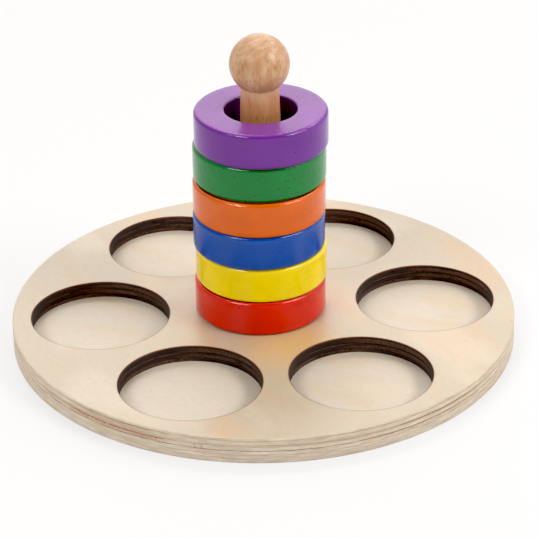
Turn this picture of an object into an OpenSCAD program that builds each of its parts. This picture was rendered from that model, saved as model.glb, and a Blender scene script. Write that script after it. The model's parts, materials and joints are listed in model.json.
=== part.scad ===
// Ring sorting tower: six painted wooden rings stacked on a ball-headed peg, on a round
// plywood board with six round pockets, one for each ring.
//
// The board is two plywood discs glued face to face. The upper one is cut through for the
// pockets and for the peg, and the lower one closes them. One countersunk screw comes up
// through the lower disc into the foot of the peg.
//
// Origin: centre of the board's underside. +Z is up the peg, and +X points at a pocket.

/* [Board] */
// Diameter of both plywood discs
board_d = 250; // [244:2:300]
// Thickness of the upper disc, which is the depth of the pockets
top_board_t = 8.5; // [6:0.5:12]
// Thickness of the lower disc, which is the floor of the pockets
base_board_t = 4.5; // [4.5:0.5:9]
// Width of the sanded bevel on the outer corners of the board
corner_ease = 0.4; // [0.2:0.1:1.5]

/* [Pockets] */
// Number of pockets, evenly spaced round the peg
pocket_count = 6; // [3:1:6]
// Diameter of each pocket
pocket_d = 68.5; // [66:0.5:74]
// Radius of the circle that the pocket centres lie on
pocket_pitch_r = 81.25; // [79:0.25:83]

/* [Rings] */
// Outer diameter of each ring
ring_d = 65; // [56:1:66]
// Diameter of the hole through each ring
ring_hole_d = 35; // [34:0.5:40]
// Thickness of each ring
ring_t = 18; // [12:0.5:24]
// Radius of the rounded outer corners of a ring
ring_outer_round = 2; // [0.5:0.1:3]
// Radius of the rounded corners at the mouths of the hole
ring_hole_round = 1; // [0.5:0.1:2]

/* [Peg] */
// Diameter of the peg's shaft
shaft_d = 19.6; // [14:0.2:24]
// Diameter of the peg just under the ball
neck_d = 18.4; // [12:0.2:19]
// Length over which the shaft narrows to the neck
neck_length = 21; // [10:1:40]
// Diameter of the ball head
ball_d = 29; // [24:0.5:30]
// Bare length of peg between the top ring and the underside of the ball
peg_showing = 8.5; // [2:0.5:30]

/* [Screw] */
// Diameter over the screw's thread
screw_d = 4; // [3:0.5:5]
// Diameter of the screw's countersunk head
screw_head_d = 8; // [6.5:0.5:9]
// Length of the screw over its head
screw_length = 35; // [20:1:60]

/* [Hidden] */
$fn = 128;
board_t = base_board_t + top_board_t;
stack_top = board_t + 6 * ring_t;
ball_z = stack_top + peg_showing + ball_d / 2;
peg_fit = 0.05;
screw_core_d = screw_d * 0.7;
screw_pitch = screw_d * 0.45;
screw_head_t = (screw_head_d - screw_d) / 2;
screw_rim_t = 0.4;
screw_sink = 0.3;
screw_fit = 0.15;
cut = 1;

// How far each ring rests off the peg's axis, from the bottom ring up.
ring_rest = [[-1.1, 1.7], [-0.4, 2.0], [-1.4, 1.1], [-1.1, 0.3], [-0.6, 1.9], [0.3, 0.1]];

// A disc of the board's diameter with a sanded bevel round its upper corner.
module eased_disc(t) {
  rotate_extrude()
    polygon([
      [0, 0],
      [board_d / 2, 0],
      [board_d / 2, t - corner_ease],
      [board_d / 2 - corner_ease, t],
      [0, t]
    ]);
}

// Places its children at each pocket's centre.
module at_pockets() {
  for (i = [0 : pocket_count - 1])
    rotate([0, 0, i * 360 / pocket_count])
      translate([pocket_pitch_r, 0, 0])
        children();
}

// Lower disc, drilled and countersunk from below for the peg's screw.
module base_board() {
  head_r = screw_head_d / 2 + screw_fit;
  hole_r = screw_d / 2 + screw_fit;
  color([0.86, 0.76, 0.62])
    difference() {
      translate([0, 0, base_board_t])
        mirror([0, 0, 1])
          eased_disc(base_board_t);
      translate([0, 0, -cut])
        cylinder(r = hole_r, h = base_board_t + 2 * cut);
      translate([0, 0, screw_sink + screw_rim_t])
        cylinder(r1 = head_r, r2 = hole_r, h = head_r - hole_r);
      translate([0, 0, -cut])
        cylinder(r = head_r, h = cut + screw_sink + screw_rim_t);
    }
}

// Upper disc, cut through for the pockets and for the foot of the peg.
module top_board() {
  color([0.89, 0.80, 0.67])
    translate([0, 0, base_board_t])
      difference() {
        eased_disc(top_board_t);
        translate([0, 0, -cut])
          at_pockets()
            cylinder(d = pocket_d, h = top_board_t + 2 * cut);
        translate([0, 0, -cut])
          cylinder(d = shaft_d + 2 * peg_fit, h = top_board_t + 2 * cut);
      }
}

// Turned peg in one piece: foot in the upper disc, straight shaft, waisted neck and ball.
module peg() {
  shaft_r = shaft_d / 2;
  neck_r = neck_d / 2;
  neck_top = ball_z - sqrt(pow(ball_d / 2, 2) - pow(neck_r, 2));
  pilot_r = screw_d / 2 + peg_fit;
  pilot_top = screw_length + 1;
  color([0.78, 0.61, 0.44])
    difference() {
      union() {
        rotate_extrude()
          polygon([
            [0, base_board_t],
            [shaft_r - corner_ease, base_board_t],
            [shaft_r, base_board_t + corner_ease],
            [shaft_r, neck_top - neck_length],
            [shaft_r - (shaft_r - neck_r) * 0.4, neck_top - neck_length * 0.5],
            [neck_r, neck_top],
            [neck_r, ball_z],
            [0, ball_z]
          ]);
        translate([0, 0, ball_z])
          sphere(d = ball_d);
      }
      translate([0, 0, base_board_t - cut])
        cylinder(r = pilot_r, h = pilot_top - base_board_t + cut);
    }
}

// Outline of one side of the screw, from the head's rim up past the thread to the point.
function screw_outline() =
  let (
    head_top = screw_rim_t + screw_head_t,
    thread_low = base_board_t + screw_pitch,
    thread_high = screw_length - screw_d,
    turns = floor((thread_high - thread_low) / screw_pitch),
    core_r = screw_core_d / 2
  )
  concat(
    [
      [0, 0],
      [screw_head_d / 2, 0],
      [screw_head_d / 2, screw_rim_t],
      [screw_d / 2, head_top],
      [screw_d / 2, base_board_t],
      [core_r, thread_low]
    ],
    [
      for (i = [0 : turns - 1], k = [0 : 1])
        [k == 0 ? screw_d / 2 : core_r, thread_low + (i + (k + 1) / 2) * screw_pitch]
    ],
    [[0, screw_length]]
  );

// Countersunk wood screw with a cross recess in its head, standing head down.
module peg_screw() {
  slot_w = 1.1;
  slot_l = screw_head_d * 0.6;
  slot_h = screw_head_t;
  color([0.72, 0.72, 0.74])
    translate([0, 0, screw_sink])
      difference() {
        rotate_extrude()
          polygon(screw_outline());
        intersection() {
          translate([0, 0, -cut])
            union() {
              translate([-slot_l / 2, -slot_w / 2, 0])
                cube([slot_l, slot_w, slot_h + cut]);
              translate([-slot_w / 2, -slot_l / 2, 0])
                cube([slot_w, slot_l, slot_h + cut]);
            }
          translate([0, 0, -cut])
            cylinder(r1 = slot_l / 2 + cut, r2 = 0.6, h = slot_h + cut);
        }
      }
}

// Section of a ring: a rectangle with rounded corners, wider ones on the outside.
module ring_section() {
  hole_r = ring_hole_d / 2;
  outer_r = ring_d / 2;
  middle = (hole_r + outer_r) / 2;
  union() {
    translate([hole_r + ring_hole_round, 0])
      square([outer_r - ring_outer_round - hole_r - ring_hole_round, ring_t]);
    translate([hole_r, ring_hole_round])
      square([middle - hole_r, ring_t - 2 * ring_hole_round]);
    translate([middle, ring_outer_round])
      square([outer_r - middle, ring_t - 2 * ring_outer_round]);
    for (z = [ring_hole_round, ring_t - ring_hole_round])
      translate([hole_r + ring_hole_round, z])
        circle(r = ring_hole_round);
    for (z = [ring_outer_round, ring_t - ring_outer_round])
      translate([outer_r - ring_outer_round, z])
        circle(r = ring_outer_round);
  }
}

// One ring at its place in the stack, where level 0 rests on the board.
module ring(level) {
  rest = ring_rest[level];
  translate([rest[0], rest[1], board_t + level * ring_t])
    rotate_extrude()
      ring_section();
}

module red_ring() {
  color([0.78, 0.13, 0.05])
    ring(0);
}

module yellow_ring() {
  color([0.90, 0.77, 0.08])
    ring(1);
}

module blue_ring() {
  color([0.14, 0.30, 0.59])
    ring(2);
}

module orange_ring() {
  color([0.84, 0.40, 0.16])
    ring(3);
}

module green_ring() {
  color([0.18, 0.49, 0.25])
    ring(4);
}

module purple_ring() {
  color([0.46, 0.24, 0.58])
    ring(5);
}

base_board();
top_board();
peg();
peg_screw();
red_ring();
yellow_ring();
blue_ring();
orange_ring();
green_ring();
purple_ring();
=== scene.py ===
"""Looks of the ring sorting tower: veneers of the plywood board, turned peg, screw and painted rings.

Lengths in the tables are in millimetres, and MM turns them into Blender's metres. The studio's own
tables are in metres, as their comments say. Azimuths and grain directions are in degrees.
"""

import json
import math

import bmesh
import bpy
from mathutils import Euler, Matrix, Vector, noise


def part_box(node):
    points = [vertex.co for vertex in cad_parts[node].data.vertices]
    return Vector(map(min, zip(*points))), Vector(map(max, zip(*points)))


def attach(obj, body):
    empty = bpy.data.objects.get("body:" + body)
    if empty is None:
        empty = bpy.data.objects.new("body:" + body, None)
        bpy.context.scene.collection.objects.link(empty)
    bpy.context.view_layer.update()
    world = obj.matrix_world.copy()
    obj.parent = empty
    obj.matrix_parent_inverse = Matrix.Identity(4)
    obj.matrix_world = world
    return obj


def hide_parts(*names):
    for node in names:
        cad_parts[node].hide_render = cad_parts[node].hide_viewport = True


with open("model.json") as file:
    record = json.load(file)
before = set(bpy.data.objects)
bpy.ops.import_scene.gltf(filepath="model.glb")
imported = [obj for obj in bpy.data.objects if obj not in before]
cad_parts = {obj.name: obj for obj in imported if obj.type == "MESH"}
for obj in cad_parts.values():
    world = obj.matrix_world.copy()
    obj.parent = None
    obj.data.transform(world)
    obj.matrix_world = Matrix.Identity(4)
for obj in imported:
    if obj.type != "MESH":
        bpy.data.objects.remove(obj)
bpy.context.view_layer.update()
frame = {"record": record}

MM = 0.001
AXIS = (0, 0)

# Veneers from the bottom up: thickness, direction of the grain in degrees from +X, tone of the
# edge, how dark the glue line on top of it is, and how torn and brown its end grain is.
BASE_VENEERS = [
    (1.9, -28.0, "grey", 0.15, 0.25),
    (0.9, 62.0, "pale", 0.25, 0.1),
    (1.7, -30.0, "pale", 0.4, 0.3),
]
TOP_VENEERS = [
    (2.2, -60.0, "pale", 1.0, 0.3),
    (2.1, 52.0, "pale", 0.5, 1.0),
    (0.8, -53.0, "tan", 0.3, 1.0),
    (2.4, 51.0, "pale", 0.5, 0.5),
    (1.0, -66.0, "face", 0.0, 0.2),
]
BOARD_EASE = 0.6
GLUE_GROOVE = 0.02
POCKET_EASE = 0.2
# How far in from an eased corner the flat gets one more row of points.
EASE_SUPPORT = 0.8
BOARD_SEGMENTS = 300
POCKET_SEGMENTS = 128
PEG_HOLE_SEGMENTS = 72
SCREW_HOLE_SEGMENTS = 48
# Depth of a wall's unevenness, and the length over which it changes.
SANDED_EDGE = (0.05, 4.0)
BURNT_EDGE = (0.09, 2.0)
# Where strips of an upper veneer don't quite meet at the board's edge: veneer number, azimuth, width.
CORE_GAPS = [(2, -109.4, 0.5), (2, -107.8, 0.9), (2, 38.0, 0.8), (4, 131.0, 0.6), (1, 72.0, 0.7)]
GAP_DEPTH = 0.3

SCREW_SHANK_R = 2.0
SCREW_CORE_R = 0.7 * SCREW_SHANK_R
SCREW_PITCH = 0.9 * SCREW_SHANK_R
SCREW_HEAD_RIM = 0.4
# Where the thread starts, above the screw's lower end, and how much of its point tapers and is bare.
SCREW_THREAD_START = 6.0
SCREW_TIP = 4.0
SCREW_BARE_TIP = 1.2
SCREW_SEGMENTS = 32
# Half the width and the depth of each slot of its cross recess.
RECESS_HALF_WIDTH = 0.55
RECESS_DEPTH = 2.0
# The hole for it in the lower disc: play all round, and where the countersink's cone starts.
SCREW_PLAY = 0.15
SCREW_HOLE_R = SCREW_SHANK_R + SCREW_PLAY
SCREW_CONE_START = 0.7

# Play of a fit that stands in for glue or for a thread that bites.
TIGHT_PLAY = 0.05
SHAFT_R = 9.8
PEG_HOLE_R = SHAFT_R + TIGHT_PLAY
NECK_R = 9.2
NECK_LENGTH = 21.0
NECK_CURVE = 1.32
FOOT_EASE = 0.4
PILOT_R = SCREW_SHANK_R + TIGHT_PLAY
PILOT_DEPTH = 31.5
# Height and spacing of the turning tool's ridges, and depth and length of its waver.
TOOL_RIDGE = (0.012, 1.3)
TOOL_WAVER = (0.03, 9.0)
PEG_SEGMENTS = 128

RING_HOLE_R = 17.5
RING_OUTER_ROUND = 2.0
RING_HOLE_ROUND = 1.0
# Radius that parts the hole's side of a ring from its outer side, and depth of the hand sanding.
RING_MIDDLE_R = 20.0
RING_SANDED = 0.05
RING_SEGMENTS = 160


# ---------------------------------------------------------------- meshes


def srgb(red, green, blue):
    """A colour given as on a screen, from 0 to 255, in linear light."""
    scaled = [x / 255 for x in (red, green, blue)]
    return [x / 12.92 if x <= 0.04045 else ((x + 0.055) / 1.055) ** 2.4 for x in scaled] + [1.0]


def even_angles(count):
    return [2 * math.pi * i / count for i in range(count)]


def bridge(bm, low, high, material=0):
    """Faces between two rows of points round an axis. A row of one point is a tip."""
    count = max(len(low), len(high))
    for i in range(count):
        j = (i + 1) % count
        corners = [low[i % len(low)], low[j % len(low)], high[j % len(high)], high[i % len(high)]]
        face = bm.faces.new(list(dict.fromkeys(corners)))
        face.material_index = material


def circle_row(bm, centre, radius, z, angles, shaped=None):
    """A row of points round a centre, or one on the axis. shaped(angle, radius, z) may move each."""
    centre_x, centre_y = centre
    if radius == 0:
        return [bm.verts.new((centre_x, centre_y, z))]
    row = []
    for angle in angles:
        r = shaped(angle, radius, z) if shaped else radius
        row.append(bm.verts.new((centre_x + r * math.cos(angle), centre_y + r * math.sin(angle), z)))
    return row


def finished(bm, name, materials, sharp_degrees=32):
    """The piece made from a bmesh, smooth except where it turns sharply."""
    bmesh.ops.recalc_face_normals(bm, faces=bm.faces)
    mesh = bpy.data.meshes.new(name)
    bm.to_mesh(mesh)
    bm.free()
    for polygon in mesh.polygons:
        polygon.use_smooth = True
    mesh.set_sharp_from_angle(angle=math.radians(sharp_degrees))
    for material in materials:
        mesh.materials.append(material)
    piece = bpy.data.objects.new(name, mesh)
    bpy.context.scene.collection.objects.link(piece)
    return piece


def lathe(name, profile, segments, centre, material, shaped=None):
    """A closed surface of revolution. A profile that begins off the axis is a loop."""
    bm = bmesh.new()
    angles = even_angles(segments)
    rows = [circle_row(bm, centre, radius, z, angles, shaped) for radius, z in profile]
    if profile[0][0] != 0:
        rows.append(rows[0])
    for low, high in zip(rows, rows[1:]):
        bridge(bm, low, high)
    return finished(bm, name, [material])


def arc(centre_r, centre_z, radius, start, end, steps):
    """Points of a profile's arc, by its start and end angle in degrees."""
    turns = [math.radians(start + (end - start) * i / steps) for i in range(steps + 1)]
    return [(centre_r + radius * math.cos(a), centre_z + radius * math.sin(a)) for a in turns]


def straight(start, end, steps):
    """The points between two ends of a profile's straight stretch, without the ends."""
    shares = [i / steps for i in range(1, steps)]
    return [tuple(a + (b - a) * share for a, b in zip(start, end)) for share in shares]


# ---------------------------------------------------------------- board


def rough_wall(unevenness, seed, is_hole=False):
    """Moves a wall's points into the wood by up to a depth, unevenly along the wall."""
    depth, length = (size * MM for size in unevenness)
    into_wood = depth if is_hole else -depth

    def shaped(angle, radius, z):
        at = Vector((radius * math.cos(angle), radius * math.sin(angle), z * 3)) / length
        share = 0.5 + 0.5 * noise.noise(at + Vector((seed, -seed, seed)))
        return radius + into_wood * share

    return shaped


def angles_with_gaps(gaps, radius):
    """Even steps round the board, four more at each gap, and which of them are inside a gap."""
    angles = even_angles(BOARD_SEGMENTS)
    inside = []
    for azimuth, width in gaps:
        middle = math.radians(azimuth) % (2 * math.pi)
        half = width * MM / 2 / radius
        angles = [a for a in angles if abs(a - middle) >= 2 * half]
        inner = [middle - half * 0.6, middle + half * 0.6]
        angles += [middle - half, middle + half] + inner
        inside += inner
    return sorted(angles), set(inside)


def fill_flat(bm, rows):
    """Triangles over the flat face that the rows bound."""
    edges = []
    for row in rows:
        edges += [bm.edges.get((a, b)) for a, b in zip(row, row[1:] + row[:1])]
    up = Vector((0, 0, 1))
    bmesh.ops.triangle_fill(bm, use_beauty=True, use_dissolve=False, edges=edges, normal=up)


def veneer(name, rims, materials):
    """One layer of plywood.

    Each rim is its centre, its profile from the bottom up, its angles, what shapes its rows, and the
    number of its wall's material. Stretches flatter than 45 degrees have the first material.
    """
    bm = bmesh.new()
    lowest, highest = [], []
    for centre, profile, angles, shaped, wall_material in rims:
        rows = [circle_row(bm, centre, radius, z, angles, shaped) for radius, z in profile]
        for k, (low, high) in enumerate(zip(rows, rows[1:])):
            across = abs(profile[k + 1][0] - profile[k][0])
            rise = abs(profile[k + 1][1] - profile[k][1])
            is_flat = rise < 0.99 * across
            bridge(bm, low, high, 0 if is_flat else wall_material)
        lowest.append(rows[0])
        highest.append(rows[-1])
    fill_flat(bm, lowest)
    fill_flat(bm, highest)
    return finished(bm, name, materials)


def outer_profile(radius, bottom, top, eased_top=False, eased_bottom=False):
    """The board's outer edge at one veneer, with a shallow groove at each glue line."""
    ease = BOARD_EASE * MM
    groove = GLUE_GROOVE * MM
    support = ease + EASE_SUPPORT * MM
    low = [(radius - groove, bottom), (radius, bottom + groove)]
    high = [(radius, top - groove), (radius - groove, top)]
    if eased_bottom:
        low = [(radius - support, bottom)] + arc(radius - ease, bottom + ease, ease, -90, 0, 5)
    if eased_top:
        high = arc(radius - ease, top - ease, ease, 0, 90, 5) + [(radius - support, top)]
    return low + straight(low[-1], high[0], 2) + high


def pocket_profile(radius, bottom, top, eased_top):
    """A pocket's wall at one veneer, with a burnt corner where it meets the board's face."""
    ease = POCKET_EASE * MM
    groove = GLUE_GROOVE * MM
    low = [(radius + groove, bottom), (radius, bottom + groove)]
    high = [(radius, top - groove), (radius + groove, top)]
    if eased_top:
        high = [(radius, top - ease), (radius + ease, top), (radius + 6 * ease, top)]
    return low + straight(low[-1], high[0], 3) + high


def screw_hole_profile(bottom, top, head_r):
    """The countersunk hole through one veneer, with a point wherever its slope changes."""
    widest = head_r + SCREW_PLAY * MM
    narrowest = SCREW_HOLE_R * MM
    cone_start = SCREW_CONE_START * MM
    cone_end = cone_start + widest - narrowest
    heights = [bottom] + [z for z in (cone_start, cone_end) if bottom < z < top] + [top]
    return [(max(narrowest, min(widest, widest - (z - cone_start))), z) for z in heights]


def base_board(radius, bottom, head_r):
    """The lower disc's veneers, drilled and countersunk for the screw."""
    pieces = []
    for i, (thickness, grain, tone, seam, torn) in enumerate(BASE_VENEERS):
        number = i + 1
        top = bottom + thickness * MM
        span = (bottom / MM, top / MM)
        edge = (span, EDGE_TONES[tone], seam, torn)
        materials = [
            birch_face(f"birch_base_face_{number}", grain, 17.0 + 5 * i, BASE_FACE_TONES, RAW_SHEEN),
            birch_edge(f"birch_base_edge_{number}", grain, 31.0 + 7 * i, *edge),
        ]
        outline = outer_profile(radius, bottom, top, eased_bottom=number == 1)
        hole = screw_hole_profile(bottom, top, head_r)
        sanded = rough_wall(SANDED_EDGE, 3.0 + i)
        rims = [
            (AXIS, outline, even_angles(BOARD_SEGMENTS), sanded, 1),
            (AXIS, hole, even_angles(SCREW_HOLE_SEGMENTS), None, 1),
        ]
        pieces.append(veneer(f"base_board_veneer_{number}", rims, materials))
        bottom = top
    return pieces


def top_board(radius, bottom, pockets):
    """The upper disc's veneers, cut through for the pockets and for the peg's foot."""
    pieces = []
    for i, (thickness, grain, tone, seam, torn) in enumerate(TOP_VENEERS):
        number = i + 1
        top = bottom + thickness * MM
        span = (bottom / MM, top / MM)
        is_face = number == len(TOP_VENEERS)
        edge = (span, EDGE_TONES[tone], seam, torn)
        sealed = (TOP_FACE_TONES, SEALED_SHEEN, pockets)
        materials = [
            birch_face(f"birch_top_face_{number}", grain, 3.0 + 11 * i, *sealed),
            birch_edge(f"birch_top_edge_{number}", grain, 53.0 + 7 * i, *edge),
            burnt_wall(f"burnt_wall_{number}", grain, 71.0 + 3 * i, span, is_face),
        ]
        gaps = [(azimuth, width) for n, azimuth, width in CORE_GAPS if n == number]
        angles, inside = angles_with_gaps(gaps, radius)
        sanded = rough_wall(SANDED_EDGE, 13.0 + i)

        def gapped(angle, r, z, sanded=sanded, inside=inside):
            return sanded(angle, r, z) - (GAP_DEPTH * MM if angle in inside else 0)

        outline = outer_profile(radius, bottom, top, eased_top=is_face)
        rims = [(AXIS, outline, angles, gapped, 1)]
        burnt = rough_wall(BURNT_EDGE, 23.0 + i, is_hole=True)
        for centre, pocket_r in pockets:
            wall = pocket_profile(pocket_r, bottom, top, is_face)
            rims.append((centre, wall, even_angles(POCKET_SEGMENTS), burnt, 2))
        peg_hole = [(PEG_HOLE_R * MM, bottom), (PEG_HOLE_R * MM, top)]
        rims.append((AXIS, peg_hole, even_angles(PEG_HOLE_SEGMENTS), None, 1))
        pieces.append(veneer(f"top_board_veneer_{number}", rims, materials))
        bottom = top
    return pieces


# ---------------------------------------------------------------- peg, screw and rings


def peg_profile(bottom, top, ball_r):
    """Half outline of the turned peg: ball, waisted neck, shaft, foot, and the pilot hole inside."""
    shaft_r, neck_r, pilot_r = SHAFT_R * MM, NECK_R * MM, PILOT_R * MM
    ball_z = top - ball_r
    neck_top = ball_z - math.sqrt(ball_r**2 - neck_r**2)
    neck_low = neck_top - NECK_LENGTH * MM
    end_angle = -math.degrees(math.acos(neck_r / ball_r))
    ball = [(0, top)] + arc(0, ball_z, ball_r, 88, end_angle, 56)
    steps = 16
    neck = []
    for i in range(1, steps + 1):
        share = 1 - i / steps
        z = neck_low + (neck_top - neck_low) * share
        neck.append((shaft_r - (shaft_r - neck_r) * share**NECK_CURVE, z))
    ease = FOOT_EASE * MM
    foot = [(shaft_r, bottom + ease), (shaft_r - ease, bottom), (pilot_r, bottom)]
    shaft = straight(neck[-1], foot[0], 24)
    pilot_top = bottom + PILOT_DEPTH * MM
    return ball + neck + shaft + foot + [(pilot_r, pilot_top), (0, pilot_top)]


def turned_peg(bottom, top, ball_r, material):
    """The peg, with the shallow ridges that a turning tool leaves."""
    ridge_height, ridge_step = (size * MM for size in TOOL_RIDGE)
    waver_depth, waver_length = (size * MM for size in TOOL_WAVER)

    def shaped(angle, radius, z):
        if radius < PILOT_R * MM * 1.01:
            return radius
        ridge = ridge_height * math.sin(2 * math.pi * z / ridge_step)
        waver = waver_depth * noise.noise(Vector((math.cos(angle), math.sin(angle), z / waver_length)))
        return radius - waver_depth + 0.5 * (ridge + waver)

    outline = peg_profile(bottom, top, ball_r)
    return lathe("turned_peg", outline, PEG_SEGMENTS, AXIS, material, shaped)


def wood_screw(bottom, top, head_r, material):
    """Countersunk screw with a true helical thread, and a cross recess cut into its head."""
    shank_r, core_r = SCREW_SHANK_R * MM, SCREW_CORE_R * MM
    rim = bottom + SCREW_HEAD_RIM * MM
    neck = rim + head_r - shank_r
    thread_low = bottom + SCREW_THREAD_START * MM
    thread_high = top - SCREW_BARE_TIP * MM
    tip_start = top - SCREW_TIP * MM
    step = SCREW_PITCH * MM / 8
    count = int((tip_start - thread_low) / step)
    thread = [(core_r, thread_low + step * i) for i in range(count + 1)]
    taper = [(core_r * (1 - i / 6), tip_start + (top - tip_start) * i / 6) for i in range(1, 7)]
    head = [(0, bottom), (head_r * 0.55, bottom), (head_r, bottom), (head_r, rim), (shank_r, neck)]
    profile = head + straight((shank_r, neck), thread[0], 3) + thread + taper[:-1] + [(0, top)]

    def shaped(angle, radius, z):
        if not thread_low < z < thread_high:
            return radius
        turn = (z / (SCREW_PITCH * MM) - angle / (2 * math.pi)) % 1
        crest = max(0.0, 1 - abs(turn - 0.5) * 3.2)
        fade = min(1.0, (z - thread_low) / (2 * MM), (thread_high - z) / (3 * MM))
        return radius + (shank_r - core_r) * crest * fade

    screw = lathe("peg_wood_screw", profile, SCREW_SEGMENTS, AXIS, material, shaped)
    cut_cross_recess(screw, bottom, head_r)
    return screw


def cut_cross_recess(screw, bottom, head_r):
    """Takes a tapered cross out of the screw's head."""
    bm = bmesh.new()
    width = 2 * RECESS_HALF_WIDTH * MM
    for turn in (0, 90):
        made = bmesh.ops.create_cube(bm, size=1.0)
        for vert in made["verts"]:
            is_deep = vert.co.z > 0
            length = 2 * head_r * (0.12 if is_deep else 0.62)
            depth = RECESS_DEPTH * MM if is_deep else -0.5 * MM
            vert.co = Vector((vert.co.x * length, vert.co.y * width, bottom + depth))
        rotation = Euler((0, 0, math.radians(turn))).to_matrix()
        bmesh.ops.rotate(bm, verts=made["verts"], matrix=rotation, cent=(0, 0, 0))
    cutter = finished(bm, "recess_cutter", [])
    cut = screw.modifiers.new("cross_recess", "BOOLEAN")
    cut.object = cutter
    cut.operation = "DIFFERENCE"
    cut.solver = "EXACT"
    cut.use_self = True
    graph = bpy.context.evaluated_depsgraph_get()
    mesh = bpy.data.meshes.new_from_object(screw.evaluated_get(graph))
    screw.modifiers.clear()
    screw.data = mesh
    bpy.data.objects.remove(cutter)


def ring_profile(outer_r, bottom, top):
    """Section of a ring, with wider rounding on its outer corners than at the hole."""
    hole_r = RING_HOLE_R * MM
    outer_round, hole_round = RING_OUTER_ROUND * MM, RING_HOLE_ROUND * MM
    low_outer = arc(outer_r - outer_round, bottom + outer_round, outer_round, -90, 0, 8)
    high_outer = arc(outer_r - outer_round, top - outer_round, outer_round, 0, 90, 8)
    high_hole = arc(hole_r + hole_round, top - hole_round, hole_round, 90, 180, 6)
    low_hole = arc(hole_r + hole_round, bottom + hole_round, hole_round, 180, 270, 6)
    side = straight(low_outer[-1], high_outer[0], 8)
    upper = straight(high_outer[-1], high_hole[0], 5)
    bore = straight(high_hole[-1], low_hole[0], 5)
    lower = straight(low_hole[-1], low_outer[0], 5)
    return low_outer + side + high_outer + upper + high_hole + bore + low_hole + lower


def painted_ring(name, low, high, seed, material):
    """One ring. Hand sanding and brushed paint leave it a few hundredths of a millimetre uneven."""
    centre = ((low.x + high.x) / 2, (low.y + high.y) / 2)
    outer_r = (high.x - low.x) / 2

    def shaped(angle, radius, z):
        around = Vector((math.cos(angle), math.sin(angle), 0)) * 3.2
        uneven = noise.noise(around + Vector((seed, seed, (z - low.z) / (7 * MM))))
        into_wood = RING_SANDED * MM * (0.5 + 0.5 * uneven)
        return radius - into_wood if radius > RING_MIDDLE_R * MM else radius + into_wood

    section = ring_profile(outer_r, low.z, high.z)
    return lathe(name, section, RING_SEGMENTS, centre, material, shaped)


# ---------------------------------------------------------------- materials


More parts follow.
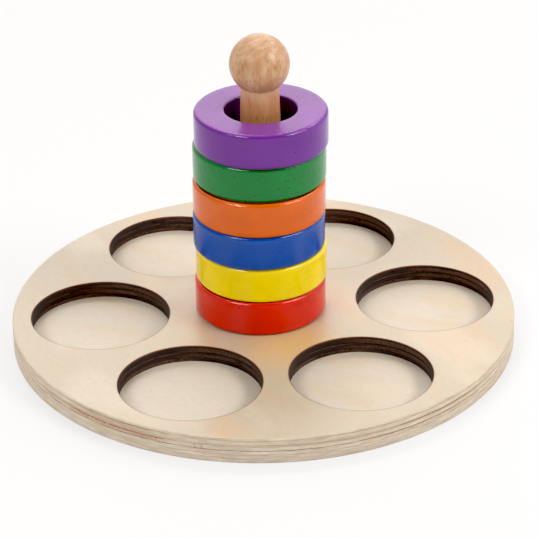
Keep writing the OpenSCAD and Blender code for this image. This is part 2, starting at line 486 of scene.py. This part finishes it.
class Shader:
    """A short way to write a material's nodes. Inputs may be numbers, colours or sockets."""

    def __init__(self, name):
        self.material = bpy.data.materials.new(name)
        self.material.use_nodes = True
        self.tree = self.material.node_tree
        self.tree.nodes.clear()
        self.surface = self.node("ShaderNodeBsdfPrincipled")
        output = self.node("ShaderNodeOutputMaterial")
        self.tree.links.new(self.surface.outputs["BSDF"], output.inputs["Surface"])
        coordinates = self.node("ShaderNodeTexCoord")
        self.normal = coordinates.outputs["Normal"]
        self.position = self.vector("SCALE", coordinates.outputs["Object"], scale=1 / MM)

    def node(self, kind, **settings):
        made = self.tree.nodes.new(kind)
        for key, value in settings.items():
            setattr(made, key, value)
        return made

    def feed(self, socket, value):
        if isinstance(value, bpy.types.NodeSocket):
            self.tree.links.new(value, socket)
        else:
            socket.default_value = value

    def math(self, operation, *values):
        made = self.node("ShaderNodeMath", operation=operation)
        for socket, value in zip(made.inputs, values):
            self.feed(socket, value)
        return made.outputs[0]

    def vector(self, operation, *values, scale=None):
        made = self.node("ShaderNodeVectorMath", operation=operation)
        for socket, value in zip(made.inputs, values):
            self.feed(socket, value)
        if scale is not None:
            made.inputs["Scale"].default_value = scale
        is_number = operation in ("DOT_PRODUCT", "LENGTH", "DISTANCE")
        return made.outputs["Value" if is_number else "Vector"]

    def turned(self, vector, angle):
        """The vector turned about Z by an angle in radians."""
        made = self.node("ShaderNodeVectorRotate", rotation_type="Z_AXIS")
        self.feed(made.inputs["Vector"], vector)
        self.feed(made.inputs["Angle"], angle)
        return made.outputs["Vector"]

    def split(self, vector):
        made = self.node("ShaderNodeSeparateXYZ")
        self.feed(made.inputs[0], vector)
        return made.outputs

    def sized(self, vector, sizes, seed=0.0):
        """Coordinates in which a feature of these sizes, in millimetres, is one unit long."""
        scaled = self.vector("MULTIPLY", vector, [1 / size for size in sizes])
        return self.vector("ADD", scaled, [seed, seed * 1.7, -seed])

    def noise(self, vector, detail=2.0, roughness=0.5, distortion=0.0):
        made = self.node("ShaderNodeTexNoise")
        self.feed(made.inputs["Vector"], vector)
        made.inputs["Scale"].default_value = 1.0
        made.inputs["Detail"].default_value = detail
        made.inputs["Roughness"].default_value = roughness
        made.inputs["Distortion"].default_value = distortion
        return made.outputs["Fac"]

    def remap(self, value, low, high, to_low=0.0, to_high=1.0):
        """The value from low to high, eased at both ends, as to_low to to_high."""
        made = self.node("ShaderNodeMapRange", interpolation_type="SMOOTHSTEP")
        for key, given in zip(("Value", "From Min", "From Max", "To Min", "To Max"),
                              (value, low, high, to_low, to_high)):
            self.feed(made.inputs[key], given)
        return made.outputs["Result"]

    def mix(self, share, first, second, blend="MIX"):
        made = self.node("ShaderNodeMix", data_type="RGBA", blend_type=blend)
        self.feed(made.inputs[0], share)
        self.feed(made.inputs[6], first)
        self.feed(made.inputs[7], second)
        return made.outputs[2]

    def shaded(self, colour, value):
        """The colour made lighter or darker by a number near 1."""
        made = self.node("ShaderNodeVectorMath", operation="SCALE")
        self.feed(made.inputs[0], colour[:3] if isinstance(colour, list) else colour)
        self.feed(made.inputs["Scale"], value)
        return made.outputs["Vector"]

    def specks(self, vector, radius, share, softness=0.35):
        """1 in sparse specks, one at most in each unit cell, and only in a share of the cells."""
        made = self.node("ShaderNodeTexVoronoi", feature="F1")
        self.feed(made.inputs["Vector"], vector)
        made.inputs["Scale"].default_value = 1.0
        is_near = self.remap(made.outputs["Distance"], radius, radius * (1 - softness))
        chance = self.split(made.outputs["Color"])[0]
        is_kept = self.math("LESS_THAN", chance, share)
        return self.math("MULTIPLY", is_near, is_kept)

    def bump(self, height, depth, strength=1.0, below=None):
        """A normal from a height of 0 to 1 that stands for depth millimetres."""
        made = self.node("ShaderNodeBump")
        self.feed(made.inputs["Height"], height)
        made.inputs["Distance"].default_value = depth * MM
        made.inputs["Strength"].default_value = strength
        if below is not None:
            self.feed(made.inputs["Normal"], below)
        return made.outputs["Normal"]

    def finish(self, colour, roughness, normal, **constants):
        """Connects the surface. Constants are set on the shader's own sockets, by name."""
        self.feed(self.surface.inputs["Base Color"], colour)
        self.feed(self.surface.inputs["Roughness"], roughness)
        self.feed(self.surface.inputs["Normal"], normal)
        for key, value in constants.items():
            self.surface.inputs[key.replace("_", " ")].default_value = value
        return self.material


# The main colour of a face veneer, its warmer patches and its darker figure.
TOP_FACE_TONES = (srgb(197, 180, 156), srgb(206, 173, 135), srgb(198, 157, 114))
BASE_FACE_TONES = (srgb(214, 201, 184), srgb(216, 191, 157), srgb(208, 178, 142))
PALE_VEIL = srgb(226, 210, 188)
PORE_BROWN = srgb(118, 84, 56)
# Painted light: a golden glow on the upper face in front of the peg, for the light that the rings throw
# onto it: centre, and where it starts and is full.
BOUNCE_GLOW_CENTRE = (10, -41, 0)
BOUNCE_GLOW_REACH = (36, 8)
BOUNCE_GLOW = srgb(233, 182, 58)
# Round each pocket the face is scorched.
SCORCHED_HALO = srgb(176, 136, 94)
SCORCHED_RIM = srgb(92, 60, 38)
# Roughness and index of refraction.
SEALED_SHEEN = (0.32, 1.6)
RAW_SHEEN = (0.6, 1.35)

EDGE_TONES = {
    "pale": srgb(216, 200, 178),
    "tan": srgb(209, 184, 155),
    "grey": srgb(210, 194, 173),
    "face": srgb(217, 200, 174),
}
EDGE_DARK_DRIFT = srgb(184, 156, 128)
EDGE_LIGHT_DRIFT = srgb(228, 217, 201)
RAW_BROWN = srgb(170, 108, 62)
GLUE_BROWN = srgb(140, 84, 50)
BOTTOM_EDGE_DARK = srgb(150, 118, 90)

CHAR = srgb(33, 28, 33)
CHAR_BAND = srgb(69, 53, 52)
CHAR_END_GRAIN = srgb(91, 67, 60)
CHAR_FLECK = srgb(160, 116, 82)
SOOT = srgb(22, 18, 18)
SOOT_SEAM = srgb(22, 16, 13)
SCORCHED_LIP = srgb(112, 60, 32)

BEECH_LIGHT = srgb(209, 171, 134)
BEECH_DARK = srgb(195, 146, 106)
BEECH_LATE_WOOD = srgb(156, 104, 66)
BEECH_RAY = srgb(168, 104, 56)
# Painted light: the shaft is painted redder than the ball, for light that the rings bounce onto it, and
# the colour changes between these heights.
SHAFT_BOUNCE_TINT = srgb(210, 146, 100)
SHAFT_BOUNCE_BELOW = (134, 124)
# The grain's tilt and turn in radians, the way from the tree's pith to the peg, and a year's growth.
GRAIN_TILT = (0.05, -0.07, 0.6)
PITH_OFFSET = (26, -9, 0)
GROWTH_RING = 2.6

# Paint: painted light makes a ring's flats a lighter, warmer copy of its colour, painted shade dulls
# and greys it in the hole, and painted shade darkens it where two rings meet.
FLAT_LIGHT_TINT = srgb(170, 118, 84)
HOLE_SHADE = srgb(92, 76, 94)
CREVICE_SHADE = srgb(14, 13, 14)

ZINC = srgb(205, 205, 208)
ZINC_SOIL = srgb(140, 132, 122)
ACRYLIC = srgb(140, 138, 137)
ACRYLIC_GLOW = 0.645


def from_pocket(s, pockets):
    """Distance in millimetres from the axis of the nearest of the evenly spaced pockets."""
    step = 2 * math.pi / len(pockets)
    pitch_r = Vector(pockets[0][0]).length / MM
    x, y, _ = s.split(s.position)
    nearest = s.math("ROUND", s.math("DIVIDE", s.math("ARCTAN2", y, x), step))
    level = s.vector("MULTIPLY", s.position, (1, 1, 0))
    to_first = s.turned(level, s.math("MULTIPLY", nearest, -step))
    return s.vector("DISTANCE", to_first, (pitch_r, 0, 0))


def birch_face(name, grain, seed, tones, sheen, pockets=None):
    """The flat of a rotary-cut birch veneer: soft clouds, faint figure, fine fibres and a few pores."""
    pale, warm, brown = tones
    gloss, refraction = sheen
    s = Shader(name)
    along = s.turned(s.position, -math.radians(grain))
    clouds = s.noise(s.sized(along, (85, 26, 26), seed + 9), detail=3, distortion=0.6)
    veil = s.noise(s.sized(along, (60, 34, 34), seed + 2), detail=2)
    figure = s.noise(s.sized(along, (48, 9, 9), seed), detail=4, distortion=2.2)
    mottle = s.noise(s.sized(along, (3.4, 2.0, 2.0), seed + 6), detail=3)
    fibres = s.noise(s.sized(along, (6, 0.45, 0.45), seed + 4), detail=3, roughness=0.6)
    pores = s.specks(s.sized(along, (5, 3, 3), seed), radius=0.085, share=0.3)
    colour = s.mix(s.remap(clouds, 0.48, 0.72, 0, 0.65), pale, warm)
    colour = s.mix(s.remap(veil, 0.52, 0.7, 0, 0.3), colour, PALE_VEIL)
    colour = s.mix(s.remap(figure, 0.54, 0.72, 0, 0.15), colour, brown)
    colour = s.shaded(colour, s.remap(mottle, 0.3, 0.7, 0.98, 1.015))
    colour = s.shaded(colour, s.remap(fibres, 0.25, 0.75, 0.972, 1.02))
    colour = s.mix(s.math("MULTIPLY", pores, 0.6), colour, PORE_BROWN)
    if pockets:
        # Painted light: a warm glow in front of the peg, where the rings throw their colour onto the
        # face.
        from_bounce_glow = s.vector("LENGTH", s.vector("SUBTRACT", s.position, BOUNCE_GLOW_CENTRE))
        colour = s.mix(s.remap(from_bounce_glow, *BOUNCE_GLOW_REACH, 0, 0.5), colour, BOUNCE_GLOW)
        pocket_r = pockets[0][1] / MM
        distance = from_pocket(s, pockets)
        halo = s.remap(distance, pocket_r + 1.6, pocket_r + 0.2, 0, 0.3)
        colour = s.mix(halo, colour, SCORCHED_HALO)
        rim = s.remap(distance, pocket_r + 0.55, pocket_r + 0.3, 0, 0.9)
        colour = s.mix(rim, colour, SCORCHED_RIM)
    roughness = s.remap(fibres, 0.3, 0.7, gloss + 0.05, gloss - 0.03)
    height = s.math("SUBTRACT", s.math("ADD", fibres, mottle), pores)
    return s.finish(colour, roughness, s.bump(height, 0.03), IOR=refraction)


def end_grain_share(s, grain, start, full):
    """From 0 where a wall runs along the grain to 1 where it cuts straight across it."""
    angle = math.radians(grain)
    across = s.vector("DOT_PRODUCT", s.normal, (math.cos(angle), math.sin(angle), 0))
    return s.remap(s.math("ABSOLUTE", across), start, full)


def birch_edge(name, grain, seed, span, tone, seam, torn):
    """A veneer's edge: streaky along the grain, torn and brown across it, with a glue line on top."""
    s = Shader(name)
    low, high = span
    z = s.split(s.position)[2]
    end = end_grain_share(s, grain, 0.965, 0.992)
    streaks = s.noise(s.sized(s.position, (8, 8, 0.42), seed), detail=4, roughness=0.6)
    fuzz = s.noise(s.sized(s.position, (0.6, 0.6, 0.3), seed + 3), detail=3, roughness=0.65)
    drift = s.noise(s.sized(s.position, (24, 24, 6), seed + 7), detail=2)
    colour = s.mix(s.remap(drift, 0.45, 0.75, 0, 0.35), tone, EDGE_DARK_DRIFT)
    colour = s.mix(s.remap(drift, 0.5, 0.25, 0, 0.35), colour, EDGE_LIGHT_DRIFT)
    colour = s.shaded(colour, s.remap(streaks, 0.3, 0.7, 0.78, 1.14))
    colour = s.shaded(colour, s.remap(fuzz, 0.3, 0.7, 0.94, 1.04))
    ragged_end = s.math("MULTIPLY", end, torn)
    ragged = s.math("MULTIPLY", ragged_end, s.remap(fuzz, 0.44, 0.6, 0.05, 0.8))
    colour = s.mix(ragged, colour, RAW_BROWN)
    checks = s.specks(s.sized(s.position, (2.6, 2.6, 0.6), seed), radius=0.14, share=0.14)
    colour = s.mix(s.math("MULTIPLY", checks, 0.45), colour, RAW_BROWN)
    waver = s.noise(s.sized(s.position, (6, 6, 6), seed + 11), detail=2)
    width = s.remap(waver, 0.3, 0.7, 0.14 + 0.2 * seam, 0.3 + 0.26 * seam)
    reach = s.math("ADD", width, s.math("MULTIPLY", ragged_end, 0.5))
    glue = s.remap(s.math("DIVIDE", s.math("SUBTRACT", high, z), reach), 1.0, 0.5)
    broken = s.noise(s.sized(s.position, (4, 4, 4), seed + 5), detail=2)
    strength = s.remap(broken, 0.35, 0.6, 0.65 * seam, seam)
    frayed = s.math("MULTIPLY", ragged_end, s.remap(fuzz, 0.4, 0.6, 0, 0.8))
    strength = s.math("ADD", strength, frayed)
    colour = s.mix(s.math("MULTIPLY", glue, strength), colour, GLUE_BROWN)
    if low <= 0:
        # The lowest veneer's edge is darker towards the bottom, where the board stands on the floor.
        colour = s.mix(s.remap(z, 0.7, 0.3, 0, 0.65), colour, BOTTOM_EDGE_DARK)
    height = s.math("ADD", streaks, s.math("MULTIPLY", fuzz, s.math("ADD", end, 0.3)))
    return s.finish(colour, s.remap(fuzz, 0.3, 0.7, 0.6, 0.78), s.bump(height, 0.1))


def burnt_wall(name, grain, seed, span, is_face):
    """A pocket's wall, charred by the cut: near black along the grain, browner across it."""
    s = Shader(name)
    low, high = span
    end = end_grain_share(s, grain, 0.6, 0.97)
    z = s.split(s.position)[2]
    bands = s.noise(s.sized(s.position, (22, 22, 0.45), seed), detail=3, roughness=0.6)
    blotches = s.noise(s.sized(s.position, (11, 11, 5), seed + 2), detail=2)
    flecks = s.noise(s.sized(s.position, (0.6, 0.6, 0.28), seed + 6), detail=2)
    colour = s.mix(s.remap(bands, 0.35, 0.68), CHAR, CHAR_BAND)
    colour = s.mix(s.math("MULTIPLY", end, s.remap(bands, 0.3, 0.65)), colour, CHAR_END_GRAIN)
    colour = s.mix(s.remap(blotches, 0.56, 0.7, 0, 0.75), colour, SOOT)
    fleck = s.math("MULTIPLY", s.remap(flecks, 0.54, 0.66), s.math("MULTIPLY", end, 0.7))
    colour = s.mix(fleck, colour, CHAR_FLECK)
    from_seam = s.math("MINIMUM", s.math("SUBTRACT", z, low), s.math("SUBTRACT", high, z))
    colour = s.mix(s.remap(from_seam, 0.24, 0.08, 0, 0.6), colour, SOOT_SEAM)
    if is_face:
        colour = s.mix(s.remap(z, high - 0.5, high - 0.22), colour, SCORCHED_LIP)
    height = s.math("ADD", s.math("MULTIPLY", flecks, end), bands)
    roughness = s.remap(flecks, 0.3, 0.7, 0.42, 0.62)
    return s.finish(colour, roughness, s.bump(height, 0.1), Specular_IOR_Level=0.35)


def turned_beech(name):
    """Beech, turned end to end: faint growth lines, mottled tone and many short ray flecks."""
    s = Shader(name)
    tilted = s.node("ShaderNodeVectorRotate", rotation_type="EULER_XYZ")
    s.feed(tilted.inputs["Vector"], s.position)
    tilted.inputs["Rotation"].default_value = GRAIN_TILT
    grain = tilted.outputs["Vector"]
    bend = s.noise(s.sized(grain, (9, 9, 30), 2.0), detail=3)
    offset = s.vector("ADD", s.vector("MULTIPLY", grain, (1, 1, 0)), PITH_OFFSET)
    pith = s.math("ADD", s.vector("LENGTH", offset), s.math("MULTIPLY", bend, 7.0))
    phase = s.math("FRACT", s.math("DIVIDE", pith, GROWTH_RING))
    late = s.math("MULTIPLY", s.remap(phase, 0.45, 0.97), s.remap(phase, 1.0, 0.97))
    fibres = s.noise(s.sized(grain, (0.3, 0.3, 4), 5.0), detail=3, roughness=0.65)
    tone = s.noise(s.sized(grain, (5, 5, 11), 8.0), detail=3)
    short = s.specks(s.sized(grain, (1.3, 1.3, 7.0), 3.0), radius=0.34, share=0.85, softness=0.55)
    long = s.specks(s.sized(grain, (2.4, 2.4, 9.0), 9.0), radius=0.18, share=0.4, softness=0.5)
    flecks = s.math("MAXIMUM", s.math("MULTIPLY", short, 0.9), long)
    z = s.split(s.position)[2]
    colour = s.mix(s.remap(tone, 0.34, 0.66), BEECH_LIGHT, BEECH_DARK)
    # Painted light: redder low on the shaft, for light bounced off the rings.
    colour = s.mix(s.remap(z, *SHAFT_BOUNCE_BELOW, 0, 0.85), colour, SHAFT_BOUNCE_TINT)
    colour = s.mix(s.math("MULTIPLY", late, 0.16), colour, BEECH_LATE_WOOD)
    colour = s.shaded(colour, s.remap(fibres, 0.25, 0.75, 0.9, 1.08))
    colour = s.mix(s.math("MULTIPLY", flecks, 0.7), colour, BEECH_RAY)
    height = s.math("SUBTRACT", fibres, s.math("MULTIPLY", flecks, 0.4))
    return s.finish(colour, s.remap(fibres, 0.3, 0.7, 0.42, 0.32), s.bump(height, 0.03), IOR=1.5)


def ring_paint(name, colour, seed, pore_share, is_top, low, high):
    """Brushed gloss paint on wood: faint brush marks and open pores, with painted light on the flats
    and painted shade in the hole and where two rings meet.
    """
    s = Shader(name)
    centre = ((low.x + high.x) / 2 / MM, (low.y + high.y) / 2 / MM, 0)
    outer_r = (high.x - low.x) / 2 / MM
    local = s.vector("SUBTRACT", s.position, centre)
    z = s.split(local)[2]
    from_axis = s.vector("LENGTH", s.vector("MULTIPLY", local, (1, 1, 0)))
    peel = s.noise(s.sized(local, (1.6, 1.6, 1.2), seed), detail=2)
    grit = s.noise(s.sized(local, (0.65, 0.65, 0.65), seed + 2), detail=1)
    marks = s.noise(s.sized(local, (9, 9, 0.5), seed + 4), detail=3, roughness=0.6)
    cloud = s.noise(s.sized(local, (14, 14, 8), seed + 8), detail=2)
    pores = s.specks(s.sized(local, (1.6, 1.6, 2.6), seed), 0.2, pore_share, 0.5)
    # Painted light: the flats, top and bottom, get a lighter and warmer copy of the paint's colour.
    is_flat = s.remap(s.math("ABSOLUTE", s.split(s.normal)[2]), 0.6, 0.98)
    lit_flats = s.mix(0.15, s.shaded(colour, 1.35), FLAT_LIGHT_TINT)
    tone = s.mix(is_flat, colour, lit_flats)
    tone = s.shaded(tone, s.remap(cloud, 0.3, 0.7, 0.95, 1.04))
    tone = s.shaded(tone, s.remap(marks, 0.3, 0.7, 0.985, 1.015))
    # Painted shade: the paint in the hole is darker and greyer.
    in_hole = s.remap(from_axis, RING_HOLE_R + 0.8, RING_HOLE_R + 0.1, 0, 0.55)
    tone = s.mix(in_hole, tone, HOLE_SHADE)
    above = s.math("SUBTRACT", z, low.z / MM)
    below = s.math("SUBTRACT", high.z / MM, z)
    # Painted shade: nearly black within a fraction of a millimetre of where a ring meets its neighbour
    # or the board.
    crevice_shade = s.remap(above, 0.6, 0.25, 0, 0.85)
    if not is_top:
        crevice_shade = s.math("MAXIMUM", crevice_shade, s.remap(below, 0.2, 0.08, 0, 0.85))
    crevice_shade = s.math("MULTIPLY", crevice_shade, s.remap(from_axis, outer_r - 3, outer_r - 2))
    tone = s.mix(crevice_shade, tone, CREVICE_SHADE)
    tone = s.mix(s.math("MULTIPLY", pores, 0.9), tone, s.shaded(colour, 0.08))
    height = s.math("ADD", peel, grit)
    height = s.math("ADD", height, s.math("MULTIPLY", marks, 0.2))
    height = s.math("SUBTRACT", height, s.math("MULTIPLY", pores, 1.5))
    roughness = s.remap(peel, 0.3, 0.7, 0.13, 0.07)
    return s.finish(tone, roughness, s.bump(height, 0.085), IOR=1.54)


def screw_steel(name):
    """Zinc-plated steel with turning marks and a little soiling."""
    s = Shader(name)
    marks = s.noise(s.sized(s.position, (3, 3, 0.12), 1.0), detail=3)
    soil = s.noise(s.sized(s.position, (1.6, 1.6, 1.6), 6.0), detail=3)
    colour = s.mix(s.remap(soil, 0.45, 0.75, 0, 0.6), ZINC, ZINC_SOIL)
    roughness = s.remap(marks, 0.3, 0.7, 0.28, 0.45)
    return s.finish(colour, roughness, s.bump(marks, 0.02), Metallic=1.0)


def studio_floor(name):
    """Translucent white acrylic, lit a little from below so that shadows on it stay faint."""
    s = Shader(name)
    mottle = s.noise(s.sized(s.position, (2, 2, 2), 1.0), detail=3)
    colour = s.shaded(ACRYLIC, s.remap(mottle, 0.3, 0.7, 0.995, 1.0))
    normal = s.bump(mottle, 0.01)
    return s.finish(colour, 0.9, normal, Specular_IOR_Level=0.1, Emission_Strength=ACRYLIC_GLOW)


# ---------------------------------------------------------------- studio

# Metres from the board's centre, degrees, and the focal length on a 36 mm frame.
CAMERA_DISTANCE = 1.1667
CAMERA_ELEVATION = 29.417
CAMERA_AZIMUTH = -4.367
CAMERA_HEADING = 4.541
CAMERA_PITCH = 27.947
CAMERA_ROLL = -0.864
CAMERA_LENS = 155.29

# Tones this dark turn black, as a contrast curve makes them.
BLACK_LEVEL = 0.02
WORLD_LEVEL = 0.42
# Azimuth, elevation, edge, core and strength of each bright or dim patch of the surroundings.
WORLD_PATCHES = [
    (0, 15, 60, 30, -0.24),
    (180, 28, 37, 14, 1.25),
    (95, 12, 50, 15, 0.55),
    (0, -90, 104, 88, 0.45),
]

# How far the floor reaches from the board's centre, in metres.
FLOOR_REACH = 6.0
# Height of the point that the soft boxes face, in metres.
LIT_HEIGHT = 0.06
# Azimuth, elevation, distance, width and height in metres, and power in watts.
SOFT_BOXES = [
    ("front_right_box", 60, 38, 1.8, 0.8, 0.45, 13.4),
    ("front_left_box", -47, 40, 1.8, 0.8, 0.45, 11.4),
    ("rear_right_box", 122, 42, 1.8, 0.8, 0.5, 3.8),
    ("overhead_box", -150, 68, 1.6, 0.9, 0.7, 3.0),
    ("rear_top_box", 180, 56, 1.9, 1.0, 0.3, 7.0),
]


def compass(azimuth, elevation):
    """A direction from the tower. Azimuth 0 is in front of it and 90 to its right."""
    a, e = math.radians(azimuth), math.radians(elevation)
    return Vector((math.sin(a) * math.cos(e), -math.cos(a) * math.cos(e), math.sin(e)))


def make_camera():
    """A long lens from in front and above."""
    camera = bpy.data.cameras.new("camera")
    camera.lens = CAMERA_LENS
    camera.sensor_width = 36.0
    camera.clip_start = 0.01
    camera.clip_end = 50.0
    holder = bpy.data.objects.new("camera", camera)
    holder.location = compass(CAMERA_AZIMUTH, CAMERA_ELEVATION) * CAMERA_DISTANCE
    look = Euler((math.radians(90 - CAMERA_PITCH), 0, math.radians(-CAMERA_HEADING)), "XYZ")
    roll = Euler((0, 0, math.radians(CAMERA_ROLL)), "XYZ")
    holder.rotation_mode = "QUATERNION"
    holder.rotation_quaternion = look.to_quaternion() @ roll.to_quaternion()
    bpy.context.scene.collection.objects.link(holder)
    bpy.context.scene.camera = holder


def soft_light(name, azimuth, elevation, distance, width, height, power):
    """A soft box that faces the tower."""
    lamp = bpy.data.lights.new(name, "AREA")
    lamp.shape = "RECTANGLE"
    lamp.size = width
    lamp.size_y = height
    lamp.energy = power
    holder = bpy.data.objects.new(name, lamp)
    away = compass(azimuth, elevation)
    holder.location = away * distance + Vector((0, 0, LIT_HEIGHT))
    holder.rotation_mode = "QUATERNION"
    holder.rotation_quaternion = away.to_track_quat("Z", "Y")
    holder.visible_camera = False
    bpy.context.scene.collection.objects.link(holder)


def world_term(tree, direction, towards, edge, core, strength):
    """Light from a soft patch of the surroundings: full within core degrees, none beyond edge."""
    facing = tree.nodes.new("ShaderNodeVectorMath")
    facing.operation = "DOT_PRODUCT"
    facing.inputs[1].default_value = towards
    shade = tree.nodes.new("ShaderNodeMapRange")
    shade.interpolation_type = "SMOOTHSTEP"
    shade.inputs["From Min"].default_value = math.cos(math.radians(edge))
    shade.inputs["From Max"].default_value = math.cos(math.radians(core))
    shade.inputs["To Max"].default_value = strength
    tree.links.new(direction, facing.inputs[0])
    tree.links.new(facing.outputs["Value"], shade.inputs["Value"])
    return shade.outputs["Result"]


def make_world():
    """White surroundings, brighter behind the tower and dimmer in front, where the camera stands."""
    world = bpy.data.worlds.new("studio")
    world.use_nodes = True
    tree = world.node_tree
    tree.nodes.clear()
    direction = tree.nodes.new("ShaderNodeTexCoord").outputs["Generated"]
    level = WORLD_LEVEL
    for azimuth, elevation, edge, core, strength in WORLD_PATCHES:
        term = world_term(tree, direction, compass(azimuth, elevation), edge, core, strength)
        total = tree.nodes.new("ShaderNodeMath")
        total.operation = "ADD"
        tree.links.new(term, total.inputs[0])
        if isinstance(level, float):
            total.inputs[1].default_value = level
        else:
            tree.links.new(level, total.inputs[1])
        level = total.outputs[0]
    background = tree.nodes.new("ShaderNodeBackground")
    output = tree.nodes.new("ShaderNodeOutputWorld")
    background.inputs["Color"].default_value = (1, 1, 1, 1)
    tree.links.new(level, background.inputs["Strength"])
    tree.links.new(background.outputs["Background"], output.inputs["Surface"])
    bpy.context.scene.world = world


def make_floor():
    """A wide white light table under the board."""
    bm = bmesh.new()
    bmesh.ops.create_grid(bm, x_segments=8, y_segments=8, size=FLOOR_REACH)
    floor = finished(bm, "table_floor", [studio_floor("table_acrylic")])


def make_studio():
    make_camera()
    make_world()
    make_floor()
    for name, azimuth, elevation, distance, width, height, power in SOFT_BOXES:
        soft_light(name, azimuth, elevation, distance, width, height, power)
    view = bpy.context.scene.view_settings
    view.view_transform = "Standard"
    view.use_curve_mapping = True
    view.curve_mapping.black_level = (BLACK_LEVEL, BLACK_LEVEL, BLACK_LEVEL)
    view.curve_mapping.update()


# ---------------------------------------------------------------- assembly


def stand_for(piece, node, body):
    """Puts a piece in a CAD node's place: parents it to the node's body and hides the node."""
    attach(piece, body)
    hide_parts(node)


def make_board():
    low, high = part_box("base_board")
    top_low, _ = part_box("top_board")
    _, screw_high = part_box("peg_screw")
    mounts = [m for m in frame["record"]["mounts"] if m["name"].startswith("pocket_")]
    pockets = [(tuple(m["pos_m"][:2]), m["dims"]["r_mm"] * MM) for m in mounts]
    for piece in base_board(high.x, low.z, screw_high.x):
        stand_for(piece, "base_board", "board")
    for piece in top_board(high.x, top_low.z, pockets):
        stand_for(piece, "top_board", "board")


def make_peg():
    low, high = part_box("peg")
    peg = turned_peg(low.z, high.z, high.x, turned_beech("turned_beech"))
    stand_for(peg, "peg", "board")
    low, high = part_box("peg_screw")
    screw = wood_screw(low.z, high.z, high.x, screw_steel("screw_steel"))
    stand_for(screw, "peg_screw", "board")


# Colour and share of open pores of each ring's paint, from the bottom ring up.
RING_PAINTS = {
    "red": (srgb(215, 36, 18), 0.02),
    "yellow": (srgb(245, 215, 22), 0.0),
    "blue": (srgb(18, 78, 166), 0.08),
    "orange": (srgb(217, 98, 12), 0.05),
    "green": (srgb(10, 123, 51), 0.5),
    "purple": (srgb(111, 44, 143), 0.06),
}


def make_rings():
    """The rings from the bottom up. Only the top one has no painted shade at its top, where a neighbour
    would sit.
    """
    for level, (colour, (tone, pore_share)) in enumerate(RING_PAINTS.items()):
        node = f"{colour}_ring"
        low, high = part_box(node)
        is_top = level == len(RING_PAINTS) - 1
        paint_seed = 2.0 + 6.3 * level
        shape_seed = 4.0 + 3 * level
        paint = ring_paint(f"{colour}_paint", tone, paint_seed, pore_share, is_top, low, high)
        ring = painted_ring(f"{colour}_ring_painted", low, high, shape_seed, paint)
        stand_for(ring, node, node)


make_board()
make_peg()
make_rings()
make_studio()
